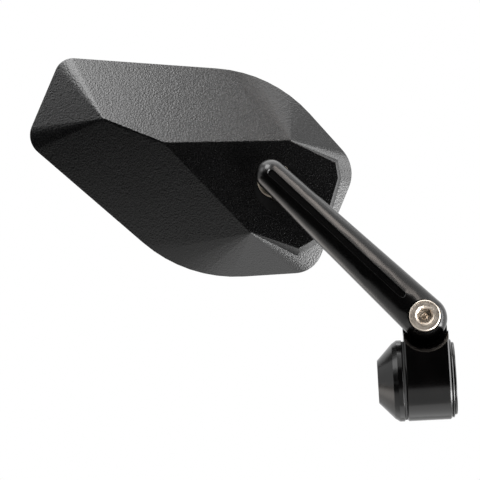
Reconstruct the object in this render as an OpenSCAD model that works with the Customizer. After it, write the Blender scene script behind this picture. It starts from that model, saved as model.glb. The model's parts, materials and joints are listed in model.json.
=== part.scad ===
// Bar end mirror: turned end weight and clamp ring, round folding arm,
// ball joint and faceted moulded head. The bar axis is X and the bar enters from +X.

/* [Bar end] */
// Radius of the clamp ring, the end weight and its skirt
ring_r = 17.25; // [15:0.25:20]
// Width of the clamp ring along the bar
ring_w = 18.8; // [16:0.2:24]
// Radius of the spigot that the ring turns on
spigot_r = 9.5; // [8:0.25:10]
// Wall of the plain bush on the spigot
bush_t = 1.5; // [1:0.25:2]
// Radius of the clearance bore for the bar screw
bar_bore_r = 4.2; // [3.2:0.1:5.2]
// Radius of the counterbore for the head of the bar screw
bar_head_r = 7; // [6:0.25:7.5]
// Depth of that counterbore
bar_head_depth = 8.5; // [6:0.5:10]
// Length of the plain band of the end weight
weight_band = 2.2; // [1:0.1:5]
// Length of the shallow bevel of the end weight
weight_bevel_l = 2; // [1:0.1:4]
// Drop in radius over the shallow bevel
weight_bevel_drop = 1.3; // [0.6:0.1:2]
// Length of the steep cone of the end weight
weight_cone_l = 6.5; // [4:0.1:12]
// Radius of the front face of the end weight
weight_face_r = 9.4; // [8.5:0.1:11]
// Thickness of the rubber ring between weight and clamp ring
seal_t = 1; // [0.8:0.1:2.5]
// Thickness of the flange ring beside the clamp ring
flange_t = 0.9; // [0.6:0.1:2]
// Radius of the flange ring
flange_r = 16.6; // [13:0.25:18]
// Thickness of the spacer ring that meets the bar
spacer_t = 1.2; // [0.6:0.1:4]
// Radius of the spacer ring
spacer_r = 15.4; // [12:0.25:16]

/* [Arm pivot] */
// Height of the pivot bolt above the bar axis
pivot_z = 24.9; // [23:0.1:30]
// Distance of the arm's axis in front of the bar axis
arm_front = 9.25; // [8.5:0.25:11]
// Radius of the pivot bolt's shank
bolt_r = 4; // [3:0.25:4.5]
// Radius of the pivot bolt's head
bolt_head_r = 6.5; // [5.5:0.25:7]
// Height of the pivot bolt's head
bolt_head_h = 8; // [5:0.25:8.5]
// Width across flats of the hexagon socket
hex_af = 6; // [4:0.5:7]
// Depth of the hexagon socket
hex_depth = 4; // [2:0.25:4.5]
// Thickness of the lug behind the arm
lug_t = 10; // [8:0.5:13]
// Height of the ring's shoulders below the pivot
shoulder_drop = 6.1; // [5.8:0.1:7]
// Thickness of the friction washer between arm and lug
friction_t = 0.8; // [0.5:0.1:1.5]
// Thickness of the spring washer under the bolt's head
spring_washer_t = 1.2; // [0.8:0.1:1.6]
// Slope of the scallop that clears the arm's end
scallop_tilt = 15; // [12:0.5:19]

/* [Arm] */
// Length between the centres of the arm's two round ends
arm_len = 90.6; // [70:0.2:140]
// Radius of the arm at the pivot
arm_r_low = 9.6; // [9:0.1:10.5]
// Radius of the arm at the ball stud
arm_r_top = 6.7; // [6:0.1:8]
// Distance from the arm's axis to the flat at the pivot
arm_flat = 6.5; // [5.5:0.1:7.5]
// Width of the groove along the front of the arm
groove_w = 2.6; // [1.5:0.1:4]
// Depth of the groove
groove_depth = 0.9; // [0.4:0.1:1.6]
// Bevel along the rim of the groove
groove_bevel = 0.4; // [0.2:0.05:0.5]
// Angle of the arm above the bar, from the inboard direction
arm_angle = 133.2; // [60:0.2:145]

/* [Ball joint] */
// Radius of the ball
ball_r = 7; // [6:0.25:7.5]
// Radius of the neck between collar and ball
neck_r = 3.4; // [2.5:0.1:4]
// Radius of the stud's collar
collar_r = 7.6; // [6:0.25:9]
// Thickness of the stud's collar
collar_t = 2.7; // [1.5:0.1:3.5]
// Distance of the stud from the centre of the arm's round end
stud_in = 1.8; // [0:0.1:6]
// Distance of the ball's centre behind the bar axis
ball_back = 11.8; // [11:0.1:16]
// Clearance between the ball and its cups
ball_gap = 0.25; // [0.15:0.05:0.4]
// Distance of the front liner's front face before the ball's centre
liner_front = 3.8; // [3.2:0.1:4.4]
// Distance of its back face behind the ball's centre
liner_back = 0.8; // [0.2:0.1:1.4]
// Thickness of its wall
liner_wall = 1.75; // [1.2:0.05:2.2]
// Thickness of the rear cap
cap_t = 1.25; // [0.8:0.05:1.6]
// Thickness of the pressed clamp plate
plate_t = 1.4; // [1:0.1:2]
// Radius on which the clamp screws stand
screw_circle_r = 15.8; // [15:0.1:18]
// Radius of the hole in the dome of the clamp plate
plate_hole_r = 3.5; // [3:0.25:4.5]
// Radius of the mouth that the neck passes through
mouth_r = 10.8; // [9:0.1:12]

/* [Head] */
// Room between the ball joint and the backing plate
joint_room = 1.3; // [1.2:0.1:10]
// Depth of the plain side wall at the rim
rim_wall = 4.5; // [4:0.25:7]
// Lean of the rim and the glass against the flat platform
rim_tilt = 3; // [0:0.5:5]
// Thickness of the moulded shell
shell_t = 2.2; // [1.8:0.1:3]
// Width of the wall beside the glass
rim_t = 2; // [1.5:0.1:2.5]
// Draft of the walls round the raised platform
platform_draft = 11.6; // [5:0.2:16]
// Radius of the soft edges between the facets
corner_soft = 1.5; // [0.8:0.1:2]
// Thickness of the mirror glass
glass_t = 2; // [1.5:0.25:3]
// Radius of curvature of the convex glass
glass_curve = 1400; // [900:50:2500]
// Thickness of the adhesive foam pad
pad_t = 0.8; // [0.5:0.1:1.5]
// Thickness of the backing plate
backing_t = 1.5; // [1:0.1:2.5]
// Turn of the head on the ball to the inboard side
head_pan = 8; // [0:0.5:14]
// Turn of the head on the ball downwards
head_pitch = 10; // [0:0.5:14]

/* [Hidden] */
$fn = 96;
play = 0.05;
slack = 0.2;
edge = 0.6;
over = 1;

// Places along the bar, from the face that meets the bar
flange_x = -spacer_t;
ring_x1 = flange_x - flange_t - slack;
ring_x0 = ring_x1 - ring_w;
ring_mid = (ring_x0 + ring_x1) / 2;
seal_x0 = ring_x0 - seal_t;
band_x0 = seal_x0 - weight_band;
bevel_x0 = band_x0 - weight_bevel_l;
weight_x0 = bevel_x0 - weight_cone_l;
bush_r = spigot_r + bush_t;
ring_bore_r = bush_r + play;

// Places across the pivot, counted along Y
arm_y = -arm_front;
arm_back_y = arm_y + arm_flat;
lug_y0 = arm_back_y + friction_t;
lug_y1 = lug_y0 + lug_t;
bolt_top_y = arm_y - arm_r_low + slack;
bolt_seat_y = bolt_top_y + bolt_head_h;
counterbore_y = bolt_seat_y + spring_washer_t;
counterbore_r = bolt_head_r + 0.5;
lug_r = ring_w / 2;
scallop_r = arm_r_low + slack;
shoulder_z = pivot_z - shoulder_drop;
friction_r = 7;

// Arm, along its own X from the pivot
taper = asin((arm_r_low - arm_r_top) / arm_len);
groove_start = bolt_head_r + 5 + groove_w / 2;
groove_end = arm_len - 1;
stud_x = arm_len - stud_in;
collar_seat = arm_r_top - 1.5;
stud_thread_r = 3;
stud_thread_l = 8;

// Ball joint, along the head's own depth from the platform
ball_c = [
    ring_mid + stud_x * cos(arm_angle),
    ball_back,
    pivot_z + stud_x * sin(arm_angle)
];
ball_w = 7;
cup_r = ball_r + ball_gap;
liner_w0 = ball_w - liner_front;
liner_w1 = ball_w + liner_back;
liner_r = cup_r + liner_wall;
seat_w = liner_w1 + 0.6;
seat_r = liner_r + 3.1;
lip_r = sqrt(cup_r * cup_r - pow(ball_w - liner_w0, 2)) + 0.2;
lip_t = 0.8;
cap_r = cup_r + cap_t;
cap_reach = 42;
dome_r = cap_r + 0.3;
plate_w0 = seat_w + 1.2;
plate_w1 = plate_w0 + plate_t;
dome_out_r = dome_r + plate_t;
ear_r = 4.2;
screw_r = 1.6;
screw_boss_r = 3.3;
screw_head_r = 3.1;
screw_head_h = 2;
screw_bite = 4.5;
spring_t = 0.5;
spring_rise = 0.5;
spring_r = 3.4;
spring_stack = 2;
screws = 3;
screw_start = 90;

// Centre of the glass, counted from the ball
glass_c = [-36, 10];

// Head outline at the rim: corner and its radius
OUTLINE = [
    [[-94.8, 61.9], 8.4],
    [[-111.9, 24.7], 10],
    [[-41.8, -39.7], 63],
    [[15.3, -37.9], 13],
    [[36.4, 8.7], 16],
    [[-0.3, 52.2], 62]
];
// Corners of the raised platform, and the corner where the outer facets meet
TIP = [-49, 20.8];
LOW_END = [-12.4, -19.7];
TOP_END = [6.3, 20.1];
PLATFORM = [TIP, LOW_END, [8.5, -27.6], [18.2, -21.3], [26.6, 3.6], [25.7, 10], TOP_END];
RIDGE = [-76, 32.8];
glass_in = rim_t + 1.2;
seal_in = glass_in + 1.6;
backing_in = 9;
seal_lip = 0.9;
crown_drop = 0.4;
joint_top = ball_w + sqrt(pow(dome_out_r, 2) - pow(plate_hole_r, 2));
stack_t = backing_t + pad_t + glass_t + crown_drop;
glass_sag = glass_curve - sqrt(pow(glass_curve, 2) - pow(norm(glass_c), 2));
head_depth = joint_top + joint_room + stack_t + glass_sag - glass_c[0] * sin(rim_tilt);
facet_w = head_depth - rim_wall;
crown_w = head_depth - crown_drop;
ledge_t = 4;
seal_out = 1.2;
posts = [[-66, 26], [-52, 0], [-14, 38], [-18, -24]];
post_r = 3.2;
post_screw_r = 1.3;
post_screw_l = 7;

// Frames

// Turns Z to point along the bar, away from the rider's bar
module along_bar() {
    rotate([0, 90, 0]) children();
}

// Arm frame: X runs from the pivot to the ball stud
module on_arm() {
    translate([ring_mid, arm_y, pivot_z]) rotate([0, -arm_angle, 0]) children();
}

// Head frame: a plan drawn in X and Y, with depth towards the glass in Z
module on_head() {
    translate(ball_c)
        rotate([head_pitch, 0, head_pan])
            translate([0, -ball_w, 0])
                mirror([0, 1, -1])
                    children();
}

// Rim frame: the head frame leaned over about the centre of the glass
module at_rim() {
    translate([glass_c[0], glass_c[1], 0])
        rotate([0, rim_tilt, 0])
            translate([-glass_c[0], -glass_c[1], 0])
                children();
}

// Rounded outline

function unit(v) = v / norm(v);

// Corner i of the outline moved inwards by d
function corner(i, d) =
    let (n = len(OUTLINE),
        p = OUTLINE[i][0],
        a = unit(OUTLINE[(i + n - 1) % n][0] - p),
        b = unit(OUTLINE[(i + 1) % n][0] - p),
        half = acos(a * b) / 2)
    p + unit(a + b) * d / sin(half);

// Points of the rounded corner i, moved inwards by d
function corner_arc(i, d) =
    let (n = len(OUTLINE),
        p = corner(i, d),
        a = unit(corner((i + n - 1) % n, d) - p),
        b = unit(corner((i + 1) % n, d) - p),
        half = acos(a * b) / 2,
        r = max(OUTLINE[i][1] - d, 1.5),
        c = p + unit(a + b) * r / sin(half),
        from = p + a * r / tan(half) - c,
        start = atan2(from[1], from[0]),
        sweep = 180 - 2 * half,
        steps = ceil(sweep / 6))
    [for (k = [0 : steps]) c + r * [cos(start + sweep * k / steps), sin(start + sweep * k / steps)]];

function outline(d) = [for (i = [0 : len(OUTLINE) - 1]) each corner_arc(i, d)];

module outline_slab(d, w0, w1) {
    translate([0, 0, w0]) linear_extrude(w1 - w0) polygon(outline(d));
}

// Everything below the convex surface that lies `below` the crown of the glass
module under_dome(below) {
    half_angle = 5;
    steps = 12;
    arc = [for (k = [0 : steps]) glass_curve * [
        sin(half_angle * k / steps),
        cos(half_angle * k / steps) - 1
    ]];
    low = arc[steps][1] - head_depth;
    translate([glass_c[0], glass_c[1], crown_w - below])
        rotate_extrude($fn = 128)
            polygon(concat([[0, low]], arc, [[arc[steps][0], low]]));
}

// A sheet of thickness t under the glass surface, cut to the outline moved in by d
module domed_sheet(d, below, t) {
    difference() {
        intersection() {
            outline_slab(d, 0, head_depth);
            under_dome(below);
        }
        under_dome(below + t);
    }
}

// Bar end

module end_weight() {
    profile = [
        [bar_bore_r, weight_x0 + bar_head_depth],
        [bar_head_r, weight_x0 + bar_head_depth],
        [bar_head_r, weight_x0 + edge],
        [bar_head_r + edge, weight_x0],
        [weight_face_r - edge / 2, weight_x0],
        [weight_face_r, weight_x0 + edge / 2],
        [ring_r - weight_bevel_drop, bevel_x0],
        [ring_r, band_x0],
        [ring_r, seal_x0 - edge / 2],
        [ring_r - edge / 2, seal_x0],
        [spigot_r, seal_x0],
        [spigot_r, 0],
        [bar_bore_r, 0]
    ];
    color("#1b1b1d") along_bar() rotate_extrude() polygon(profile);
}

module tube_ring(x0, x1, r0, r1, bevel) {
    along_bar()
        rotate_extrude()
            polygon([
                [r0, x0],
                [r1 - bevel, x0],
                [r1, x0 + bevel],
                [r1, x1 - bevel],
                [r1 - bevel, x1],
                [r0, x1]
            ]);
}

module hub_bush() {
    color("#d8d4c6") tube_ring(seal_x0, ring_x1 + slack, spigot_r + play, bush_r, slack);
}

module seal_ring() {
    color("#0c0c0c") tube_ring(seal_x0, ring_x0, bush_r + play, ring_r - edge, slack);
}

module flange_ring() {
    color("#1b1b1d") tube_ring(flange_x - flange_t, flange_x, spigot_r + play, flange_r, edge / 2);
}

module spacer_ring() {
    color("#1b1b1d") tube_ring(flange_x, 0, spigot_r + play, spacer_r, edge / 2);
}

// Block over the ring that carries the lug, as seen along the bar
module clamp_side() {
    back = asin(lug_y1 / ring_r);
    meet = back + (90 - back) / 2;
    polygon([
        [0, 0],
        [-ring_r, 0],
        [-ring_r, shoulder_z],
        [lug_y0, shoulder_z],
        [lug_y0, pivot_z + lug_r],
        [lug_y1, pivot_z + lug_r],
        [lug_y1, pivot_z - lug_r / 2],
        [ring_r * sin(meet), ring_r * cos(meet)]
    ]);
}

// The same block seen from the front
module clamp_front() {
    translate([ring_mid, pivot_z]) circle(lug_r);
    translate([ring_x0, 0]) square([ring_w, pivot_z]);
}

// The same block seen from above, with its four upright edges bevelled
module clamp_top() {
    polygon([
        [ring_x0 + edge, -ring_r],
        [ring_x1 - edge, -ring_r],
        [ring_x1, edge - ring_r],
        [ring_x1, ring_r - edge],
        [ring_x1 - edge, ring_r],
        [ring_x0 + edge, ring_r],
        [ring_x0, ring_r - edge],
        [ring_x0, edge - ring_r]
    ]);
}

// Sloping scallop that the arm's end turns in
module scallop() {
    reach = 3 * ring_r;
    lip = 1.4;
    front_z = pivot_z - (ring_r + lug_y0) * tan(scallop_tilt);
    intersection() {
        translate([ring_mid, lug_y0, pivot_z])
            rotate([90 + scallop_tilt, 0, 0])
                translate([0, 0, -reach])
                    cylinder(r = scallop_r, h = 2 * reach);
        translate([ring_mid - reach, lug_y0 - reach, 0]) cube([2 * reach, reach, 2 * pivot_z]);
    }
    translate([ring_mid, lip - ring_r, front_z])
        rotate([90, 0, 0])
            cylinder(r1 = scallop_r, r2 = scallop_r + 2 * lip, h = 2 * lip);
}

module clamp_ring() {
    color("#19191b") difference() {
        union() {
            tube_ring(ring_x0, ring_x1, ring_bore_r, ring_r, edge);
            intersection() {
                translate([ring_x0, 0, 0])
                    rotate([90, 0, 90])
                        linear_extrude(ring_w)
                            clamp_side();
                translate([0, ring_r, 0]) rotate([90, 0, 0]) linear_extrude(2 * ring_r) clamp_front();
                linear_extrude(pivot_z + lug_r) clamp_top();
            }
        }
        translate([ring_x0 - over, 0, 0]) along_bar() cylinder(r = ring_bore_r, h = ring_w + 2 * over);
        scallop();
        translate([ring_mid, lug_y0 - over, pivot_z])
            rotate([-90, 0, 0])
                cylinder(r = bolt_r + play, h = lug_t + 2 * over);
    }
}

// Arm pivot

// A turned piece on the pivot axis, its profile in radius and Y
module on_pivot() {
    translate([ring_mid, 0, pivot_z]) rotate([-90, 0, 0]) rotate_extrude() children();
}

module pivot_bolt() {
    rim = 0.7;
    ring_in = hex_af / sqrt(3) + 0.9;
    ring_out = bolt_head_r - rim;
    ring_depth = 0.25;
    color("#c8c4bc") difference() {
        on_pivot() polygon([
            [0, bolt_top_y],
            [ring_in, bolt_top_y],
            [ring_in, bolt_top_y + ring_depth],
            [ring_out, bolt_top_y + ring_depth],
            [ring_out, bolt_top_y],
            [bolt_head_r - edge / 2, bolt_top_y],
            [bolt_head_r, bolt_top_y + edge / 2],
            [bolt_head_r, bolt_seat_y],
            [bolt_r, bolt_seat_y],
            [bolt_r, lug_y1 - edge - over],
            [bolt_r - edge, lug_y1 - over],
            [0, lug_y1 - over]
        ]);
        translate([ring_mid, bolt_top_y - over, pivot_z])
            rotate([-90, 8, 0])
                cylinder(d = 2 * hex_af / sqrt(3), h = hex_depth + over, $fn = 6);
        on_pivot() polygon([
            [0, bolt_top_y - over],
            [hex_af / sqrt(3) + 0.5 + over, bolt_top_y - over],
            [0, bolt_top_y + hex_af / sqrt(3) + 0.5]
        ]);
        on_pivot() polygon([
            [0, bolt_top_y + hex_depth - play],
            [hex_af / 4, bolt_top_y + hex_depth - play],
            [0, bolt_top_y + hex_depth + hex_af / 5]
        ]);
    }
}

module spring_washer() {
    color("#8f8f8f") on_pivot() polygon([
        [bolt_r + slack, bolt_seat_y],
        [bolt_head_r - slack, bolt_seat_y],
        [bolt_head_r - slack, counterbore_y],
        [bolt_r + slack, counterbore_y]
    ]);
}

module friction_washer() {
    color("#b08d57") on_pivot() polygon([
        [bolt_r + slack, arm_back_y],
        [friction_r, arm_back_y],
        [friction_r, lug_y0],
        [bolt_r + slack, lug_y0]
    ]);
}

// Arm

// Points of an arc round [0, at], from one angle to another
function turned_arc(at, r, from, to, steps) =
    [for (k = [0 : steps]) let (t = from + (to - from) * k / steps) [r * cos(t), at + r * sin(t)]];

// One turned form: a round end, the tapered bar and a smaller round end
module arm_body() {
    rotate([0, 90, 0])
        rotate_extrude()
            polygon(concat(
                turned_arc(0, arm_r_low, -90, taper, 16),
                turned_arc(arm_len, arm_r_top, taper, 90, 16)
            ));
}

// Bevelled rim of the groove, wider by play along the straight so that its ends blend in
module groove_rim() {
    foot = groove_w / 2;
    wide = foot + 2 * groove_bevel;
    for (x = [groove_start, groove_end])
        translate([x, 0, 0])
            rotate([90, 0, 0])
                cylinder(r1 = foot, r2 = wide, h = 2 * groove_bevel);
    translate([groove_start, 0, 0])
        rotate([90, 0, 90])
            linear_extrude(groove_end - groove_start)
                polygon([
                    [0, -foot - play],
                    [-2 * groove_bevel, -wide - play],
                    [-2 * groove_bevel, wide + play],
                    [0, foot + play]
                ]);
}

// Groove with round ends whose floor follows the taper of the arm
module groove() {
    top_y = arm_r_low / cos(taper);
    rotate([0, 0, taper]) {
        translate([0, groove_depth - top_y, 0])
            rotate([90, 0, 0])
                linear_extrude(arm_r_low) {
                    translate([groove_start, 0]) circle(groove_w / 2);
                    translate([groove_end, 0]) circle(groove_w / 2);
                    translate([groove_start, -groove_w / 2]) square([groove_end - groove_start, groove_w]);
                }
        translate([0, groove_bevel - top_y, 0]) groove_rim();
    }
}

module arm() {
    spot_r = lug_r + 1.2;
    color("#161617") on_arm() difference() {
        arm_body();
        groove();
        // Spot face that lies on the friction washer and turns past the lug
        translate([0, arm_flat, 0]) rotate([-90, 0, 0]) cylinder(r = spot_r, h = arm_r_low);
        translate([0, arm_flat + over, 0]) rotate([90, 0, 0]) cylinder(r = bolt_r + play, h = 2 * arm_r_low);
        translate([0, counterbore_y - arm_y, 0]) rotate([90, 0, 0]) cylinder(r = counterbore_r, h = 2 * arm_r_low);
        // Seat and blind hole of the ball stud
        translate([stud_x, collar_seat, 0]) rotate([-90, 0, 0]) cylinder(r = collar_r + play, h = arm_r_low);
        translate([stud_x, collar_seat - stud_thread_l, 0])
            rotate([-90, 0, 0])
                cylinder(r = stud_thread_r + play, h = stud_thread_l + over);
    }
}

module ball_stud() {
    base_y = arm_y + collar_seat;
    neck_y = base_y + collar_t;
    color("#cfcac0") translate([ball_c[0], 0, ball_c[2]]) mirror([0, 1, -1]) {
        rotate_extrude() polygon([
            [0, base_y - stud_thread_l + slack],
            [stud_thread_r, base_y - stud_thread_l + slack],
            [stud_thread_r, base_y],
            [collar_r - edge / 2, base_y],
            [collar_r, base_y + edge / 2],
            [collar_r, neck_y - edge],
            [collar_r - edge, neck_y],
            [neck_r + edge, neck_y],
            [neck_r, neck_y + edge],
            [neck_r, ball_c[1]],
            [0, ball_c[1]]
        ]);
        translate([0, 0, ball_c[1]]) sphere(ball_r);
    }
}

// Ball joint in the head

module rear_cap() {
    color("#e6e2d6") on_head() translate([0, 0, ball_w]) difference() {
        sphere(cap_r);
        sphere(cup_r);
        translate([0, 0, -2 * cap_r + cap_r * cos(cap_reach)])
            cylinder(r = 2 * cap_r, h = 2 * cap_r);
        translate([0, 0, cup_r - over]) cylinder(r = neck_r - 1.6, h = cap_t + 2 * over);
    }
}

module front_liner() {
    color("#e6e2d6") on_head() difference() {
        translate([0, 0, liner_w0]) cylinder(r = liner_r, h = liner_w1 - liner_w0);
        translate([0, 0, ball_w]) sphere(cup_r);
    }
}

// Places of the clamp screws, with child geometry at each
module at_screw(i) {
    rotate(screw_start + i * 360 / screws) translate([screw_circle_r, 0, 0]) children();
}

module clamp_plate() {
    color("#9a9a9a") on_head() difference() {
        union() {
            translate([0, 0, plate_w0]) linear_extrude(plate_t) {
                circle(dome_out_r + 1.5);
                for (i = [0 : screws - 1]) {
                    at_screw(i) circle(ear_r);
                    rotate(screw_start + i * 360 / screws)
                        translate([0, -ear_r])
                            square([screw_circle_r, 2 * ear_r]);
                }
            }
            translate([0, 0, ball_w]) sphere(dome_out_r);
        }
        translate([0, 0, ball_w]) sphere(dome_r);
        translate([0, 0, plate_w0 - 2 * dome_out_r]) cylinder(r = 2 * dome_out_r, h = 2 * dome_out_r);
        translate([0, 0, plate_w0]) cylinder(r = plate_hole_r, h = 2 * dome_out_r);
        for (i = [0 : screws - 1])
            at_screw(i)
                translate([0, 0, plate_w0 - over])
                    cylinder(r = screw_r + 2 * slack, h = plate_t + 2 * over);
    }
}

spring_w1 = plate_w1 + spring_stack * (spring_t + spring_rise);

module clamp_screw(i) {
    color("#77777a") on_head() at_screw(i) difference() {
        union() {
            translate([0, 0, seat_w - screw_bite]) cylinder(r = screw_r, h = spring_w1 - seat_w + screw_bite);
            translate([0, 0, spring_w1]) cylinder(r = screw_head_r, h = screw_head_h);
        }
        for (turn = [0, 90])
            rotate(turn)
                translate([-screw_r, -screw_r / 4, spring_w1 + screw_head_h / 2])
                    cube([2 * screw_r, screw_r / 2, screw_head_h]);
    }
}

// Two cupped springs set mouth to mouth under the head of one clamp screw
module disc_springs(i) {
    bore = screw_r + slack;
    mid = plate_w1 + spring_t + spring_rise;
    color("#6b6b6b") on_head() at_screw(i) {
        rotate_extrude() polygon([
            [bore, plate_w1],
            [spring_r, mid - spring_t],
            [spring_r, mid],
            [bore, plate_w1 + spring_t]
        ]);
        rotate_extrude() polygon([
            [spring_r, mid],
            [spring_r, mid + spring_t],
            [bore, spring_w1],
            [bore, spring_w1 - spring_t]
        ]);
    }
}

// Head

function towards(p, d) = p + unit(glass_c - p) * d;

// Depth of the rim's front edge over the plan place u
function rim_w(u) = facet_w / cos(rim_tilt) + (glass_c[0] - u) * tan(rim_tilt);

// Depth of the ridge corner, in one plane with the platform's edge and the upper rim
upper_slope = (OUTLINE[5][0][1] - OUTLINE[0][0][1]) / (OUTLINE[5][0][0] - OUTLINE[0][0][0]);
upper_v = OUTLINE[0][0][1] + (RIDGE[0] - OUTLINE[0][0][0]) * upper_slope;
ridge_w = rim_w(RIDGE[0]) * (RIDGE[1] - TIP[1]) / (upper_v - TIP[1]);
boss_w = rim_w(PLATFORM[4][0]) - edge;

// Faceted body of the shell, moved inwards by t, with its corners rounded
module facets(t) {
    r = max(corner_soft - t, 0.3);
    in = 0.4 * (t + r);
    hull() {
        at_rim() outline_slab(t, facet_w + t / 2, head_depth);
        for (p = [TIP, TOP_END, LOW_END])
            translate(concat(towards(p, in), t + r)) sphere(r, $fn = 32);
        translate(concat(towards(RIDGE, in), ridge_w + t + r)) sphere(r, $fn = 32);
    }
}

// Raised platform, standing out of the facets with drafted walls
module platform(t) {
    hull()
        for (w = [t, boss_w])
            translate([0, 0, w])
                linear_extrude(play)
                    offset(delta = w * tan(platform_draft) - t)
                        polygon(PLATFORM);
}

// Shell with its seat, screw bosses, posts and ledge, before the holes
module housing_walls() {
    difference() {
        union() {
            facets(0);
            platform(0);
        }
        facets(shell_t);
        platform(shell_t + slack);
    }
    // Seat of the ball joint and bosses of the clamp screws
    translate([0, 0, shell_t - over]) cylinder(r = seat_r, h = seat_w - shell_t + over);
    for (i = [0 : screws - 1])
        at_screw(i)
            translate([0, 0, shell_t - over])
                cylinder(r = screw_boss_r, h = seat_w - shell_t + over);
    // Posts of the backing plate, and the ledge that the edge of the glass lies on
    intersection() {
        facets(over);
        at_rim() {
            intersection() {
                under_dome(stack_t - crown_drop);
                for (p = posts) translate([p[0], p[1], 0]) cylinder(r = post_r, h = head_depth);
            }
            intersection() {
                under_dome(glass_t);
                difference() {
                    outline_slab(0, facet_w - ledge_t, head_depth);
                    outline_slab(seal_in + seal_out, 0, head_depth + over);
                }
            }
        }
    }
}

module housing() {
    color("#232325") on_head() difference() {
        housing_walls();
        // Room for the glass and its seal
        at_rim() difference() {
            outline_slab(rim_t, facet_w - ledge_t, head_depth + over);
            under_dome(glass_t);
        }
        // Mouth, throat and seat for the front liner
        translate([0, 0, -play])
            cylinder(r1 = mouth_r, r2 = lip_r, h = liner_w0 - lip_t + play);
        cylinder(r = lip_r, h = liner_w0 + over);
        translate([0, 0, liner_w0]) cylinder(r = liner_r + play, h = seat_w);
        for (i = [0 : screws - 1])
            at_screw(i)
                translate([0, 0, seat_w - screw_bite - slack])
                    cylinder(r = screw_r + play, h = screw_bite + over);
        at_rim()
            for (p = posts)
                translate([p[0], p[1], plate_screw_w(p) - post_screw_l - slack])
                    cylinder(r = post_screw_r + play, h = head_depth);
    }
}

module backing_plate() {
    color("#3a3a3c") on_head() at_rim() difference() {
        domed_sheet(backing_in, glass_t + pad_t, backing_t);
        for (p = posts)
            translate([p[0], p[1], 0]) cylinder(r = post_screw_r + slack, h = head_depth);
    }
}

module foam_pad() {
    color("#2b2b2b") on_head() at_rim() difference() {
        domed_sheet(backing_in, glass_t + play, pad_t - 2 * play);
        for (p = posts)
            translate([p[0], p[1], 0]) cylinder(r = 2 * post_screw_r + 2 * slack, h = head_depth);
    }
}

// Seat of a plate screw's head on the curved backing plate at the plan point p
function plate_screw_w(p) =
    crown_w - glass_t - pad_t - glass_curve
    + sqrt(pow(glass_curve, 2) - pow(norm(p - glass_c), 2)) + play;

module plate_screw(i) {
    p = posts[i];
    seat = plate_screw_w(p);
    color("#77777a") on_head() at_rim() translate([p[0], p[1], 0]) {
        translate([0, 0, seat - post_screw_l]) cylinder(r = post_screw_r, h = post_screw_l);
        translate([0, 0, seat]) cylinder(r = 2 * post_screw_r, h = pad_t - 2 * play - slack);
    }
}

module mirror_glass() {
    color("#b9c4cc") on_head() at_rim() domed_sheet(glass_in, 0, glass_t - play);
}

module glass_seal() {
    color("#101010") on_head() at_rim() difference() {
        intersection() {
            outline_slab(rim_t + play, 0, head_depth);
            under_dome(-seal_lip);
        }
        under_dome(glass_t - play);
        outline_slab(seal_in, 0, head_depth + over);
        intersection() {
            outline_slab(glass_in - play, 0, head_depth);
            under_dome(-play);
        }
    }
}

end_weight();
hub_bush();
seal_ring();
flange_ring();
spacer_ring();
clamp_ring();
pivot_bolt();
spring_washer();
friction_washer();
arm();
ball_stud();
rear_cap();
front_liner();
housing();
clamp_plate();
clamp_screw(0);  // clamp_screw_1
clamp_screw(1);  // clamp_screw_2
clamp_screw(2);  // clamp_screw_3
disc_springs(0);  // disc_springs_1
disc_springs(1);  // disc_springs_2
disc_springs(2);  // disc_springs_3
backing_plate();
plate_screw(0);  // plate_screw_1
plate_screw(1);  // plate_screw_2
plate_screw(2);  // plate_screw_3
plate_screw(3);  // plate_screw_4
foam_pad();
mirror_glass();
glass_seal();
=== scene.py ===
import json
import math

import bmesh
import bpy
from mathutils import Euler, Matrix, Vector

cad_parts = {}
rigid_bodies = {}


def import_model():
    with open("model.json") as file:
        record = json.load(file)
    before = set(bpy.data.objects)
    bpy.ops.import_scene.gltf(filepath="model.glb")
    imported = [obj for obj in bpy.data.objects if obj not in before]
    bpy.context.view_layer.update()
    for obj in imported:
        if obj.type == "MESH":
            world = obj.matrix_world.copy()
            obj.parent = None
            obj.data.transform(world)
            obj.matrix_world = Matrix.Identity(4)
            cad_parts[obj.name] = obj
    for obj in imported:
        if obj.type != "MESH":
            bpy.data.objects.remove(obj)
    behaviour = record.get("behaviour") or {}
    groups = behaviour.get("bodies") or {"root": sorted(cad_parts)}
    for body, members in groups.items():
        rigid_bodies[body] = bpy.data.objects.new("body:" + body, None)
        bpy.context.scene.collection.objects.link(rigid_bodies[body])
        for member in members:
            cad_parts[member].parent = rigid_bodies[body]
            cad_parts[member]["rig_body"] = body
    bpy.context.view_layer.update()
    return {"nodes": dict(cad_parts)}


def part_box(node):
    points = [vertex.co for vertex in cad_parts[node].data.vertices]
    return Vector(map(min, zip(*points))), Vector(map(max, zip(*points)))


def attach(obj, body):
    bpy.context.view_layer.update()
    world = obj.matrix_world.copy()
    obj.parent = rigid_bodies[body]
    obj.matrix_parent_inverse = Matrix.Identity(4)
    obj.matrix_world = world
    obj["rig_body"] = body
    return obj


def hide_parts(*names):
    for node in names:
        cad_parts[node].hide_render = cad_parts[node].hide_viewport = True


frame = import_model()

MM = 0.001

# Camera of the photograph: place, turn in degrees and lens in mm for a 36 mm sensor
CAMERA_PLACE = Vector((-30.0, -808.3, -87.7)) * MM
CAMERA_TURN = (100.67, 2.47, 4.64)
CAMERA_LENS = 142.5

# Studio: what the lamps point at, and the floor, which lies below the camera, in metres
AIM = Vector((-60, 0, 75)) * MM
FLOOR_Z = -0.3
FLOOR_SIZE = 6

# Edges of the head's platform that are rounded: their length, angle and the faces beside them
EDGE_LENGTH_MM = 5
EDGE_ANGLES = (70, 90)
FACE_AREA_MM2 = 20

# Painted shade in the throat of the head's mouth: how far it reaches from the ball stud's axis
THROAT_SHADE_R_MM = 13


# Small tools

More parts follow.
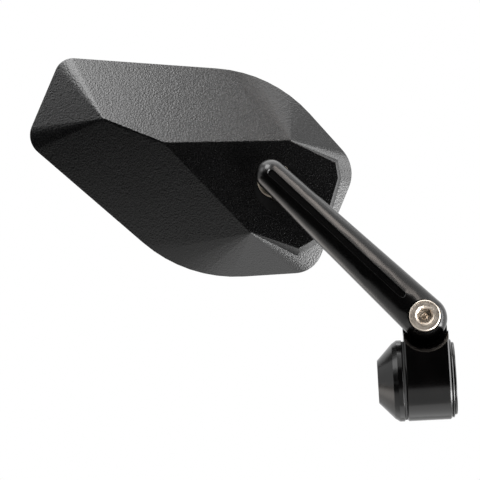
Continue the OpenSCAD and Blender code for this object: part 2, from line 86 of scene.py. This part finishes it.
def linear(code):
    """A colour written as sRGB hex, turned to linear light."""
    parts = [int(code[i:i + 2], 16) / 255 for i in (1, 3, 5)]
    channels = [c / 12.92 if c <= 0.04045 else ((c + 0.055) / 1.055) ** 2.4 for c in parts]
    return channels + [1.0]


def add(tree, kind, inputs=None, **settings):
    """Adds a shader node with its settings, values and links, and returns it."""
    node = tree.nodes.new("ShaderNode" + kind)
    for name, value in settings.items():
        setattr(node, name, value)
    for name, value in (inputs or {}).items():
        if isinstance(value, bpy.types.NodeSocket):
            tree.links.new(value, node.inputs[name])
        else:
            node.inputs[name].default_value = value
    return node


def ramp(tree, factor, stops):
    """A colour ramp from a list of places and hex colours."""
    node = add(tree, "ValToRGB", {"Fac": factor})
    band = node.color_ramp
    while len(band.elements) < len(stops):
        band.elements.new(0.5)
    for element, (place, colour) in zip(band.elements, stops):
        element.position = place
        element.color = linear(colour)
    return node.outputs["Color"]


def spread(tree, value, low, high):
    """Maps 0 to 1 onto low to high."""
    values = {"Value": value, "To Min": low, "To Max": high}
    return add(tree, "MapRange", values).outputs["Result"]


def new_material(name, **values):
    """A material with one principled shader, its uniform values and Object coordinates."""
    material = bpy.data.materials.new(name)
    material.use_nodes = True
    tree = material.node_tree
    tree.nodes.clear()
    shader = add(tree, "BsdfPrincipled")
    for socket, value in values.items():
        shader.inputs[socket.replace("_", " ")].default_value = value
    add(tree, "OutputMaterial", {"Surface": shader.outputs["BSDF"]})
    return material, tree, shader, add(tree, "TexCoord").outputs["Object"]


def bump(tree, shader, height, depth_mm):
    """Relief on the surface, with its real depth."""
    node = add(tree, "Bump", {"Height": height, "Distance": depth_mm * MM, "Strength": 1.0})
    tree.links.new(node.outputs["Normal"], shader.inputs["Normal"])


def per_metre(size_mm):
    """Scale of a pattern whose features are that many millimetres apart."""
    return 1 / (size_mm * MM)


def noise(tree, place, size_mm, detail, **inputs):
    """Noise whose features are that many millimetres apart, from 0 to 1."""
    values = {"Vector": place, "Scale": per_metre(size_mm), "Detail": detail, **inputs}
    return add(tree, "TexNoise", values).outputs["Fac"]


def colour_by(tree, shader, factor, stops):
    """Base colour from a ramp."""
    tree.links.new(ramp(tree, factor, stops), shader.inputs["Base Color"])


def roughness_by(tree, shader, factor, low, high):
    """Roughness between two values."""
    tree.links.new(spread(tree, factor, low, high), shader.inputs["Roughness"])


# Materials

def black_anodised(name, lathe_lines, smoothest, roughest):
    """Aluminium, turned or milled, bead-blasted and anodised black. The dyed oxide film is
    glassy over satin metal: a black body with soft but clear reflections."""
    material, tree, shader, place = new_material(name, IOR=1.45)
    blast = noise(tree, place, 0.35, 2.0)
    cloud = noise(tree, place, 9, 3.0)
    colour_by(tree, shader, cloud, [(0.3, "#020202"), (0.7, "#050404")])
    roughness_by(tree, shader, cloud, smoothest, roughest)
    height = blast
    if lathe_lines:
        # Lathe marks run round the bar's axis, about 0.3 mm apart so that they show
        along = add(tree, "SeparateXYZ", {"Vector": place}).outputs["X"]
        values = {"W": along, "Scale": per_metre(0.3), "Detail": 2.0}
        marks = add(tree, "TexNoise", values, noise_dimensions="1D").outputs["Fac"]
        height = add(tree, "Math", {0: blast, 1: marks}, operation="ADD").outputs["Value"]
    bump(tree, shader, height, 0.006)
    return material


def grained_plastic(name):
    """Glass-filled nylon, injection moulded in a spark-eroded mould. The eroded grain gives the
    black skin a fine sparkle, and the skin turns grey wherever it leans towards a lamp."""
    material, tree, shader, place = new_material(name, IOR=1.5)
    grain = noise(tree, place, 0.6, 3.0, Roughness=0.6)
    pits = add(tree, "TexVoronoi", {"Vector": place, "Scale": per_metre(0.68)}, feature="SMOOTH_F1")
    cloud = noise(tree, place, 14, 2.0)
    both = add(tree, "Math", {0: grain, 1: pits.outputs["Distance"]}, operation="ADD")
    colour_by(tree, shader, cloud, [(0.3, "#040405"), (0.7, "#070708")])
    roughness_by(tree, shader, grain, 0.16, 0.36)
    bump(tree, shader, both.outputs["Value"], 0.1)
    return material


def throat_painted_shade(name):
    """The same nylon in the throat of the mouth, with painted shade: a darker colour and a weak,
    dull reflection, so that it stays black round the ball joint."""
    material, tree, shader, place = new_material(name, IOR=1.5, Specular_IOR_Level=0.08)
    grain = noise(tree, place, 0.8, 3.0)
    colour_by(tree, shader, grain, [(0.3, "#020203"), (0.7, "#060606")])
    roughness_by(tree, shader, grain, 0.6, 0.9)
    bump(tree, shader, grain, 0.05)
    return material


def turned_steel(name, dark, light):
    """Steel, cold-headed and turned: bright and slightly warm, with a fine bloom."""
    material, tree, shader, place = new_material(name, Metallic=1.0)
    cloud = noise(tree, place, 2.5, 4.0)
    fine = noise(tree, place, 0.25, 2.0)
    colour_by(tree, shader, cloud, [(0.3, dark), (0.6, light)])
    roughness_by(tree, shader, cloud, 0.36, 0.48)
    bump(tree, shader, fine, 0.008)
    return material


def zinc_steel(name):
    """Steel, pressed or headed, zinc-plated: grey with a faint crystalline cloud."""
    material, tree, shader, place = new_material(name, Metallic=1.0)
    cells = add(tree, "TexVoronoi", {"Vector": place, "Scale": per_metre(0.8)}).outputs["Distance"]
    colour_by(tree, shader, cells, [(0.1, "#8f9295"), (0.8, "#b9bcbe")])
    roughness_by(tree, shader, cells, 0.28, 0.42)
    bump(tree, shader, cells, 0.004)
    return material


def sintered_bronze(name):
    """Bronze powder, pressed and sintered: matt brown-gold with open pores."""
    material, tree, shader, place = new_material(name, Metallic=1.0)
    pores = noise(tree, place, 0.3, 3.0)
    colour_by(tree, shader, pores, [(0.35, "#5a4327"), (0.6, "#86673c")])
    roughness_by(tree, shader, pores, 0.35, 0.55)
    bump(tree, shader, pores, 0.02)
    return material


def acetal(name, dark, light):
    """Acetal, injection moulded: smooth and waxy, with a slight cloud in its colour."""
    material, tree, shader, place = new_material(name, IOR=1.48)
    cloud = noise(tree, place, 4, 2.0)
    colour_by(tree, shader, cloud, [(0.3, dark), (0.7, light)])
    roughness_by(tree, shader, cloud, 0.4, 0.52)
    bump(tree, shader, cloud, 0.01)
    return material


def rubber(name, cell_mm):
    """Rubber or foam, moulded: dull black, its skin broken by small pores."""
    material, tree, shader, place = new_material(name, IOR=1.52)
    skin = noise(tree, place, cell_mm, 3.0)
    colour_by(tree, shader, skin, [(0.3, "#0b0b0b"), (0.7, "#171717")])
    roughness_by(tree, shader, skin, 0.6, 0.8)
    bump(tree, shader, skin, 0.03)
    return material


def silvered_glass(name):
    """Float glass, sagged to its curve and silvered: a clear, faintly blue reflection."""
    material, tree, shader, place = new_material(name, Metallic=1.0)
    cloud = noise(tree, place, 30, 2.0)
    colour_by(tree, shader, cloud, [(0.3, "#e3e9ec"), (0.7, "#e7ecef")])
    roughness_by(tree, shader, cloud, 0.01, 0.02)
    return material


# How each material is made, after its name
RECIPES = {
    "turned_black_anodised_aluminium": (black_anodised, True, 0.16, 0.24),
    "blasted_black_anodised_aluminium": (black_anodised, False, 0.2, 0.27),
    "spark_grained_nylon": (grained_plastic,),
    # Painted shade for the mouth round the ball joint: a darker, duller nylon
    "painted_shade_in_the_throat": (throat_painted_shade,),
    "turned_stainless_steel": (turned_steel, "#c8bdb0", "#dad0c4"),
    "ground_steel": (turned_steel, "#857c70", "#9a9184"),
    "zinc_plated_steel": (zinc_steel,),
    "sintered_bronze": (sintered_bronze,),
    "natural_acetal": (acetal, "#cfcabb", "#dedacd"),
    "black_acetal": (acetal, "#040404", "#080808"),
    "moulded_rubber": (rubber, 0.6),
    "foam_pad": (rubber, 1.2),
    "silvered_glass": (silvered_glass,),
}
MATERIALS = {name: make(name, *values) for name, (make, *values) in RECIPES.items()}

# The CAD nodes that each material is on
FINISH = {
    "turned_black_anodised_aluminium": ["end_weight", "flange_ring", "spacer_ring", "clamp_ring"],
    "blasted_black_anodised_aluminium": ["arm"],
    "spark_grained_nylon": ["housing", "backing_plate"],
    "turned_stainless_steel": ["pivot_bolt"],
    "ground_steel": ["ball_stud"],
    "zinc_plated_steel": ["spring_washer", "clamp_plate"]
    + [f"clamp_screw_{i}" for i in (1, 2, 3)]
    + [f"disc_springs_{i}" for i in (1, 2, 3)]
    + [f"plate_screw_{i}" for i in (1, 2, 3, 4)],
    "sintered_bronze": ["friction_washer"],
    "natural_acetal": ["hub_bush"],
    "black_acetal": ["rear_cap", "front_liner"],
    "moulded_rubber": ["seal_ring", "glass_seal"],
    "foam_pad": ["foam_pad"],
    "silvered_glass": ["mirror_glass"],
}


def finish_node(node, material):
    """Gives a CAD node its material."""
    slots = frame["nodes"][node].material_slots
    for slot in slots:
        slot.material = MATERIALS[material]
    if not slots:
        frame["nodes"][node].data.materials.append(MATERIALS[material])


for finish, nodes in FINISH.items():
    for node in nodes:
        finish_node(node, finish)


# Refined copies of CAD nodes

def round_platform_edges(piece, round_mm):
    """Rounds the sharp edges of the head's raised platform, so that they catch the light."""
    bpy.ops.mesh.dissolve_limited(angle_limit=math.radians(0.6))
    bpy.ops.mesh.select_mode(type="EDGE")
    bpy.ops.mesh.select_all(action="DESELECT")
    least, most = (math.radians(angle) for angle in EDGE_ANGLES)
    form = bmesh.from_edit_mesh(piece.data)
    for edge in form.edges:
        faces = edge.link_faces
        if len(faces) == 2 and edge.is_convex and edge.calc_length() > EDGE_LENGTH_MM * MM:
            outward = all(face.normal.y < -0.05 for face in faces)
            large = all(face.calc_area() > FACE_AREA_MM2 * MM * MM for face in faces)
            if outward and large and least < edge.calc_face_angle() < most:
                edge.select_set(True)
    bmesh.update_edit_mesh(piece.data)
    bpy.ops.mesh.bevel(offset=round_mm * MM, segments=3, clamp_overlap=False)


def paint_throat_shade(piece):
    """Gives the faces of the head's mouth, round the ball stud, the throat's painted shade."""
    low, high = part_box("ball_stud")
    axis = (Vector(low) + Vector(high)) / 2
    piece.data.materials.append(MATERIALS["painted_shade_in_the_throat"])
    throat = len(piece.data.materials) - 1
    for face in piece.data.polygons:
        out = face.center - axis
        front = face.normal.y < -0.97
        if math.hypot(out.x, out.z) < THROAT_SHADE_R_MM * MM and not front:
            face.material_index = throat


def refined(node, smooth_deg, round_mm=0):
    """A merged copy of a CAD node: its flat faces stay flat and its round ones shade smoothly."""
    bpy.ops.object.select_all(action="DESELECT")
    source = frame["nodes"][node]
    piece = bpy.data.objects.new(node + "_form", source.data.copy())
    bpy.context.scene.collection.objects.link(piece)
    piece.select_set(True)
    bpy.context.view_layer.objects.active = piece
    bpy.ops.object.mode_set(mode="EDIT")
    bpy.ops.mesh.select_all(action="SELECT")
    bpy.ops.mesh.remove_doubles(threshold=0.002 * MM)
    bpy.ops.mesh.customdata_custom_splitnormals_clear()
    if round_mm:
        round_platform_edges(piece, round_mm)
    bpy.ops.object.mode_set(mode="OBJECT")
    sharp = math.radians(smooth_deg)
    bpy.ops.object.shade_smooth_by_angle(angle=sharp, keep_sharp_edges=False)
    flat = piece.modifiers.new("flat faces", "WEIGHTED_NORMAL")
    flat.keep_sharp = True
    flat.weight = 60
    bpy.ops.object.modifier_apply(modifier=flat.name)
    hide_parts(node)
    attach(piece, source["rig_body"])
    return piece


# Slot, nodes, largest angle that still shades smoothly, and rounding of the platform in mm
REFINED = [
    ("moulded_black", ["housing"], 32, 0.4),
    ("black_anodised", ["arm", "clamp_ring"], 20, 0),
    ("black_anodised", ["end_weight", "flange_ring", "spacer_ring"], 12, 0),
    ("stainless", ["pivot_bolt", "ball_stud"], 14, 0),
    ("rubber", ["seal_ring"], 14, 0),
]
for slot, nodes, smooth_deg, round_mm in REFINED:
    for node in nodes:
        piece = refined(node, smooth_deg, round_mm)
        # The housing's mouth gets painted shade round the ball stud
        if node == "housing":
            paint_throat_shade(piece)


# Studio

def softbox(name, azimuth, elevation, distance, width, height, radiance, roll, tint):
    """A rectangular soft lamp, pointed at the object. Azimuth 0 is the camera's side, and it
    grows to the right."""
    a, e = math.radians(azimuth), math.radians(elevation)
    out = Vector((math.sin(a) * math.cos(e), -math.cos(a) * math.cos(e), math.sin(e)))
    lamp = bpy.data.lights.new(name, "AREA")
    lamp.shape = "RECTANGLE"
    lamp.size = width
    lamp.size_y = height
    lamp.energy = radiance * math.pi * width * height
    lamp.color = linear(tint)[:3]
    obj = bpy.data.objects.new(name, lamp)
    bpy.context.scene.collection.objects.link(obj)
    obj.location = AIM + out * distance
    obj.rotation_euler = out.to_track_quat("Z", "Y").to_euler()
    obj.rotation_euler.rotate_axis("Z", math.radians(roll))
    obj.visible_camera = False
    return obj


def stage_paint(name, colour):
    """Matt board, painted with a roller that leaves a faint texture."""
    material, tree, shader, place = new_material(name, Roughness=0.9, Specular_IOR_Level=0.0)
    shader.inputs["IOR"].default_value = 1.45
    shader.inputs["Base Color"].default_value = linear(colour)
    bump(tree, shader, noise(tree, place, 6, 2.0), 0.05)
    return material, tree, shader, place


def stage_board(name, width, depth, material):
    """A flat board of the studio."""
    bpy.ops.object.select_all(action="DESELECT")
    bpy.ops.mesh.primitive_plane_add(size=1)
    board = bpy.context.object
    board.name = name
    board.scale = (width, depth, 1)
    board.data.materials.append(material)
    return board


def seen_directly(tree):
    """1 for camera rays and for the rays that metal and glass send out, 0 for the rest."""
    path = add(tree, "LightPath").outputs
    seen = path["Is Camera Ray"]
    for other in ("Is Glossy Ray", "Is Transmission Ray"):
        seen = add(tree, "Math", {0: seen, 1: path[other]}, operation="MAXIMUM").outputs[0]
    return seen


def pale_floor():
    """Paint that partly shines white. It keeps the shadow near the object and is white far off."""
    material, tree, shader, place = stage_paint("pale_floor", "#d8d7d4")
    end = next(node for node in tree.nodes if node.type == "OUTPUT_MATERIAL")
    glow = add(tree, "Emission", {"Color": linear("#ffffff"), "Strength": 1.0})
    far = add(tree, "VectorMath", {0: place}, operation="LENGTH").outputs["Value"]
    # Share of white from near the object to far off, as parts of the board's width
    reach = {"Value": far, "From Min": 0.04, "From Max": 0.4, "To Min": 0.45, "To Max": 1.0}
    white = add(tree, "MapRange", reach).outputs["Result"]
    share = add(tree, "Math", {0: seen_directly(tree), 1: white}, operation="MULTIPLY").outputs[0]
    mixed = add(tree, "MixShader", {0: share, 1: shader.outputs[0], 2: glow.outputs[0]})
    tree.links.new(mixed.outputs[0], end.inputs["Surface"])
    return material


floor = stage_board("floor", FLOOR_SIZE, FLOOR_SIZE, pale_floor())
floor.location = (AIM.x, 0, FLOOR_Z)

# Unlit side of the studio round the camera, which only the shiny pieces see. Sizes in metres
black_card = stage_paint("black_card", "#0a0a0a")[0]
flag = stage_board("dark_flag", 8.4, 1.15, black_card)
flag.location = (-0.05, -1.35, FLOOR_Z + 0.575)
flag.rotation_euler = (math.radians(90), 0, 0)
low_card = stage_board("dark_card_low", 4, 1.6, black_card)
low_card.location = (-0.77, -1.02, FLOOR_Z + 0.005)
low_card.rotation_euler = (0, 0, math.radians(-28))
for card in (flag, low_card):
    card.visible_camera = False
    card.visible_diffuse = False
    card.visible_shadow = False

# Name, azimuth, elevation, distance, width, height, radiance, roll, tint; degrees and metres
LAMPS = [
    ("key", 38, 44, 1.0, 0.15, 0.45, 9.0, -38, "#fff3ea"),
    ("top_left", -31, 52, 0.56, 0.25, 0.3, 10.4, 0, "#ffffff"),
    ("right", 86, 3, 0.5, 0.3, 0.5, 6.0, 0, "#ffffff"),
    ("right_low", 75, -46, 0.42, 0.46, 0.32, 15.0, 0, "#ffffff"),
    ("left", -72, 31, 1.0, 0.4, 0.4, 2.4, 0, "#ffffff"),
    ("left_low", -118, -20, 0.65, 0.5, 0.25, 1.9, 0, "#fff6ee"),
    ("under", 169, -79, 0.36, 0.4, 0.34, 1.0, 0, "#ffffff"),
    ("ceiling", 180, 80, 2.0, 2.6, 2.0, 2.2, 0, "#ffffff"),
]
for lamp in LAMPS:
    box = softbox(*lamp)
    # Only the key lights matt surfaces and throws the shadow: the world does the rest, evenly
    box.visible_diffuse = lamp[0] == "key"

world = bpy.data.worlds.new("studio")
bpy.context.scene.world = world
world.use_nodes = True
world.node_tree.nodes.clear()
tree = world.node_tree
dim = add(tree, "Background", {"Color": linear("#f4f6f8"), "Strength": 0.85})
white = add(tree, "Background", {"Color": linear("#ffffff"), "Strength": 1.0})
mixed = add(tree, "MixShader", {0: seen_directly(tree), 1: dim.outputs[0], 2: white.outputs[0]})
add(tree, "OutputWorld", {"Surface": mixed.outputs[0]})

camera = bpy.data.objects.new("camera", bpy.data.cameras.new("camera"))
bpy.context.scene.collection.objects.link(camera)
camera.location = CAMERA_PLACE
camera.rotation_euler = Euler([math.radians(a) for a in CAMERA_TURN])
camera.data.sensor_width = 36
camera.data.lens = CAMERA_LENS
camera.data.clip_start = 0.01
bpy.context.scene.camera = camera
bpy.context.scene.view_settings.view_transform = "Standard"
